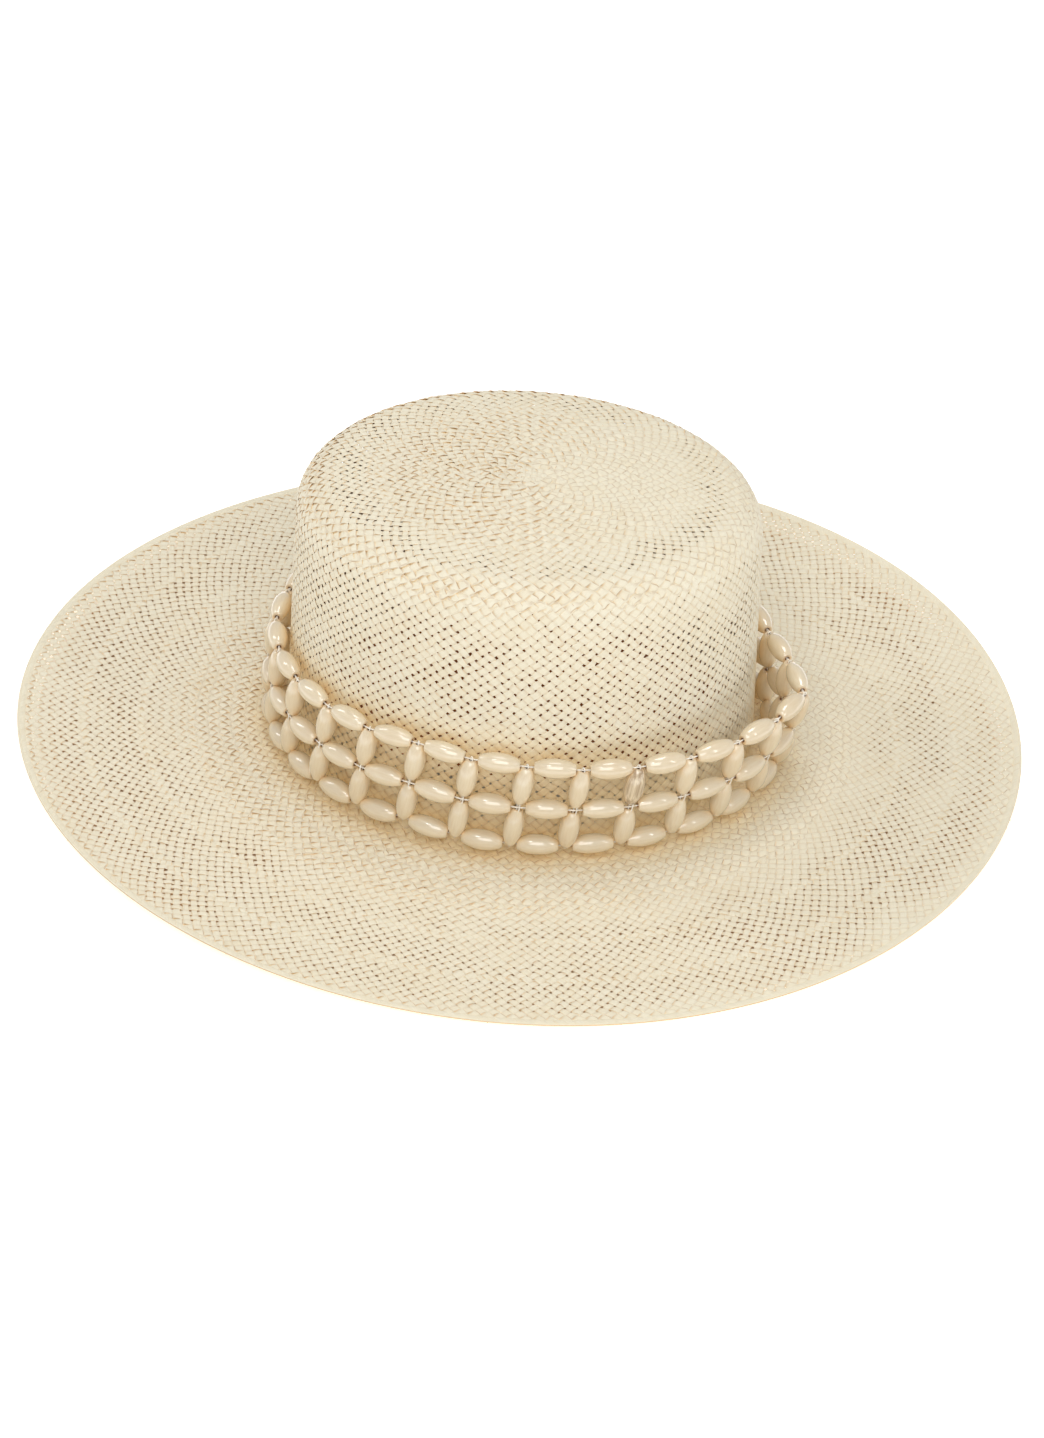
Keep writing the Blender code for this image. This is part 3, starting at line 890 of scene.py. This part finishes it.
def build_sweatband(finish):
    """Grosgrain ribbon with its upright ribs and plain woven edges, as a closed ring."""
    low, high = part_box("sweatband")
    shares = np.array([0.0, 0.03, 0.07, 0.3, 0.6, 0.93, 0.97, 1.0])
    ribbed = np.array([0.0, 0.0, 1.0, 1.0, 1.0, 1.0, 0.0, 0.0])
    heights = low.z + shares * (high.z - low.z)
    angles = 2 * math.pi * np.arange(2 * SWEATBAND_RIBS) / (2 * SWEATBAND_RIBS)
    rib = np.where(np.arange(len(angles)) % 2 == 0, RIB_DEPTH, 0.0)
    rings = []
    for face_depth, order in ((SWEATBAND_GAP, 1), (SWEATBAND_GAP + SWEATBAND_THICKNESS, -1)):
        for height, share in list(zip(heights, ribbed))[::order]:
            sunk = rib * share * order
            rings.append(oval(angles, lining_offset(height) - face_depth - sunk, height))
    shape = (len(rings), len(angles))
    faces = [ring_faces(*shape)[:, ::-1], closing_faces(*shape)[:, ::-1]]
    band = mesh_object("sweatband_ribbon", np.concatenate(rings), faces, {}, finish)
    claim([band], "hat", "sweatband")


def build_stitches(finish):
    """The sewing thread, zigzag, seen on the inner face of the sweatband."""
    low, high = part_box("sweatband_stitching")
    middle, half = (low.z + high.z) / 2, (high.z - low.z) / 2 - STITCH_RADIUS
    line = []
    for i in range(STITCHES):
        for share, stand in ((-1, 0.0), (0, 0.00018), (1, 0.0)):
            up = share if i % 2 == 0 else -share
            angle = 2 * math.pi * (i + 0.5 + 0.45 * share) / STITCHES
            height = middle + up * half
            depth = SWEATBAND_GAP + SWEATBAND_THICKNESS + RIB_DEPTH + stand
            line.append(oval(angle, lining_offset(height) - depth, height))
    thread = cord_object("sweatband_thread", [line], finish, True, STITCH_RADIUS)
    claim([thread], "hat", "sweatband_stitching")


def ribbon_strip(name, rows, thickness, finish):
    """A strip of ribbon through rows of points, thickened."""
    rows = np.array(rows)
    long, wide = rows.shape[:2]
    grid = np.arange(long * wide).reshape(long, wide)
    corners = [grid[:-1, :-1], grid[1:, :-1], grid[1:, 1:], grid[:-1, 1:]]
    strip = mesh_object(name, rows.reshape(-1, 3), [np.stack(corners, -1).reshape(-1, 4)], {}, finish)
    solid = strip.modifiers.new("thickness", "SOLIDIFY")
    solid.thickness, solid.offset = thickness, 0
    return strip


def build_bow(finish):
    """Two ribbon loops and a knot, flat against the back of the sweatband."""
    low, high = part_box("sweatband_bow")
    centre, half = (low + high) / 2, (high - low) / 2
    pieces = []
    for side, hand in ((-1, "right"), (1, "left")):
        rows = []
        for turn in np.linspace(0.04, math.pi - 0.04, 18):
            reach = math.sin(turn) ** 0.75
            depth = math.cos(turn) * (half.x - 0.00035) * (0.55 + 0.45 * reach)
            width = half.z * (0.30 + 0.62 * reach)
            crimp = 0.00022 * (1 - reach)
            shares = np.linspace(-1, 1, 13)
            x = centre.x + depth + crimp * np.cos(3 * math.pi * shares)
            y = np.full_like(shares, centre.y + side * half.y * 0.97 * reach)
            rows.append(np.stack([x, y, centre.z + width * shares], -1))
        pieces.append(ribbon_strip(f"bow_{hand}_loop", rows, BOW_THICKNESS, finish))
    rows = []
    for turn in np.linspace(0, 2 * math.pi, 21):
        x = centre.x + (half.x + 0.0002) * math.cos(turn)
        z = centre.z + 0.5 * half.z * math.sin(turn)
        rows.append([(x, centre.y + 0.0019 * share, z) for share in np.linspace(-1, 1, 7)])
    pieces.append(ribbon_strip("bow_knot", rows, BOW_THICKNESS, finish))
    claim(pieces, "hat", "sweatband_bow")


def build_label(cloth, thread):
    """A blank label that bellies slightly off the band, with rows of tacks at its top corners."""
    low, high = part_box("size_label")
    middle_y = (low.y + high.y) / 2
    rows = []
    for share in np.linspace(0, 1, 15):
        height = high.z + (low.z - high.z) * share
        belly = 0.00055 * math.sin(math.pi * share) + 0.0003 * share
        across = np.linspace(-1, 1, 11)
        width = (high.x - low.x) / 2
        rows.append([(width * t, middle_y - belly * (1 - 0.3 * t * t), height) for t in across])
    label = ribbon_strip("blank_label", rows, LABEL_THICKNESS, cloth)
    lines = []
    for side in (-1, 1):
        for row in range(3):
            x = side * ((high.x - low.x) / 2 - 0.0012 - 0.0009 * row)
            y = middle_y - LABEL_THICKNESS
            bend = (x, y - 0.00015, high.z - 0.0008)
            lines.append([(x - 0.0003, y, high.z - 0.0003), bend, (x + 0.0003, y, high.z - 0.0013)])
    tacks = cord_object("label_tacks", lines, thread, False, TACK_RADIUS)
    claim([label, tacks], "size_label", "size_label")


# ---------------------------------------------------------------- the studio


def build_floor():
    """A pale floor that glows faintly round the hat; under the hat it has painted shade, tan under the brim
    and dark brown under the crown, with a faint painted glow as if lit through straw.
    """
    paper = Shader("pale_floor", roughness=1.0, specular=0.0)
    place = paper.node("ShaderNodeTexCoord").outputs["Object"]
    footprint = paper.stretched(place, (1 / straw_high.x, 1 / straw_high.y, 0.0))
    reach = paper.node("ShaderNodeVectorMath", {0: footprint}, operation="LENGTH").outputs["Value"]
    near, far = HAT_SHADE_FADE
    inputs = {"Value": reach, "From Min": near, "From Max": far}
    outside = paper.node("ShaderNodeMapRange", inputs).outputs["Result"]
    # Painted shade under the hat: dark brown under the crown giving way to tan under the brim.
    under = paper.ramp(reach, *CROWN_SHADE_FADE, UNDER_CROWN_SHADE_COLOR, UNDER_BRIM_SHADE_COLOR)
    paper.feed("Base Color", paper.mix(outside, under, FLOOR_COLOR))
    # A faint painted glow under the hat, as if light came through the straw.
    filtered = paper.ramp(reach, *CROWN_SHADE_FADE, UNDER_CROWN_GLOW, UNDER_BRIM_GLOW)
    paper.feed("Emission Color", paper.mix(outside, filtered, FLOOR_GLOW))
    paper.set("Emission Strength", 1.0)
    mesh = bpy.data.meshes.new("studio_floor")
    size = FLOOR_HALF_SIZE
    corners = [(-size, -size, 0), (size, -size, 0), (size, size, 0), (-size, size, 0)]
    mesh.from_pydata(corners, [], [(0, 1, 2, 3)])
    mesh.materials.append(paper.material)
    floor = link_object("studio_floor", mesh)
    floor.location.z = -FLOOR_DROP


def area_light(name, position, target, size, power):
    lamp = bpy.data.lights.new(name, "AREA")
    lamp.shape = "RECTANGLE"
    lamp.size, lamp.size_y = size
    lamp.energy = power
    obj = link_object(name, lamp)
    obj.location = position
    obj.rotation_euler = (Vector(target) - Vector(position)).to_track_quat("-Z", "Y").to_euler()


def build_backdrop():
    """A world that the camera sees as white but that lights the hat more softly."""
    world = bpy.data.worlds.new("studio")
    world.use_nodes = True
    backdrop = world.node_tree.nodes["Background"]
    backdrop.inputs["Color"].default_value = (1, 1, 1, 1)
    seen = world.node_tree.nodes.new("ShaderNodeLightPath")
    strength = world.node_tree.nodes.new("ShaderNodeMath")
    strength.operation = "MAXIMUM"
    strength.inputs[1].default_value = WORLD_LIGHT
    world.node_tree.links.new(seen.outputs["Is Camera Ray"], strength.inputs[0])
    world.node_tree.links.new(strength.outputs[0], backdrop.inputs["Strength"])
    bpy.context.scene.world = world


def build_studio():
    build_floor()
    build_backdrop()
    for softbox in SOFTBOXES:
        area_light(*softbox)
    bpy.context.scene.view_settings.view_transform = "Standard"


def build_camera():
    """The camera, at the angle that the hat is seen from."""
    lens = bpy.data.cameras.new("camera")
    lens.lens = CAMERA_LENS
    lens.sensor_fit = "HORIZONTAL"
    lens.sensor_width = 36
    lens.shift_x, lens.shift_y = CAMERA_SHIFT
    camera = link_object("camera", lens)
    level = math.cos(CAMERA_ELEVATION) * CAMERA_DISTANCE
    height = math.sin(CAMERA_ELEVATION) * CAMERA_DISTANCE
    place = Vector((level * math.sin(CAMERA_TURN), -level * math.cos(CAMERA_TURN), height))
    look = (-place).to_track_quat("-Z", "Y").to_matrix().to_4x4()
    camera.matrix_world = Matrix.Translation(place) @ look @ Matrix.Rotation(CAMERA_ROLL, 4, "Z")
    bpy.context.scene.camera = camera


build_straw(straw_material())
build_net(bead_material(), cord_material())
ribbon, cotton = ribbon_material(), thread_material()
build_sweatband(ribbon)
build_stitches(cotton)
build_bow(ribbon)
build_label(label_material(), cotton)
build_studio()
build_camera()
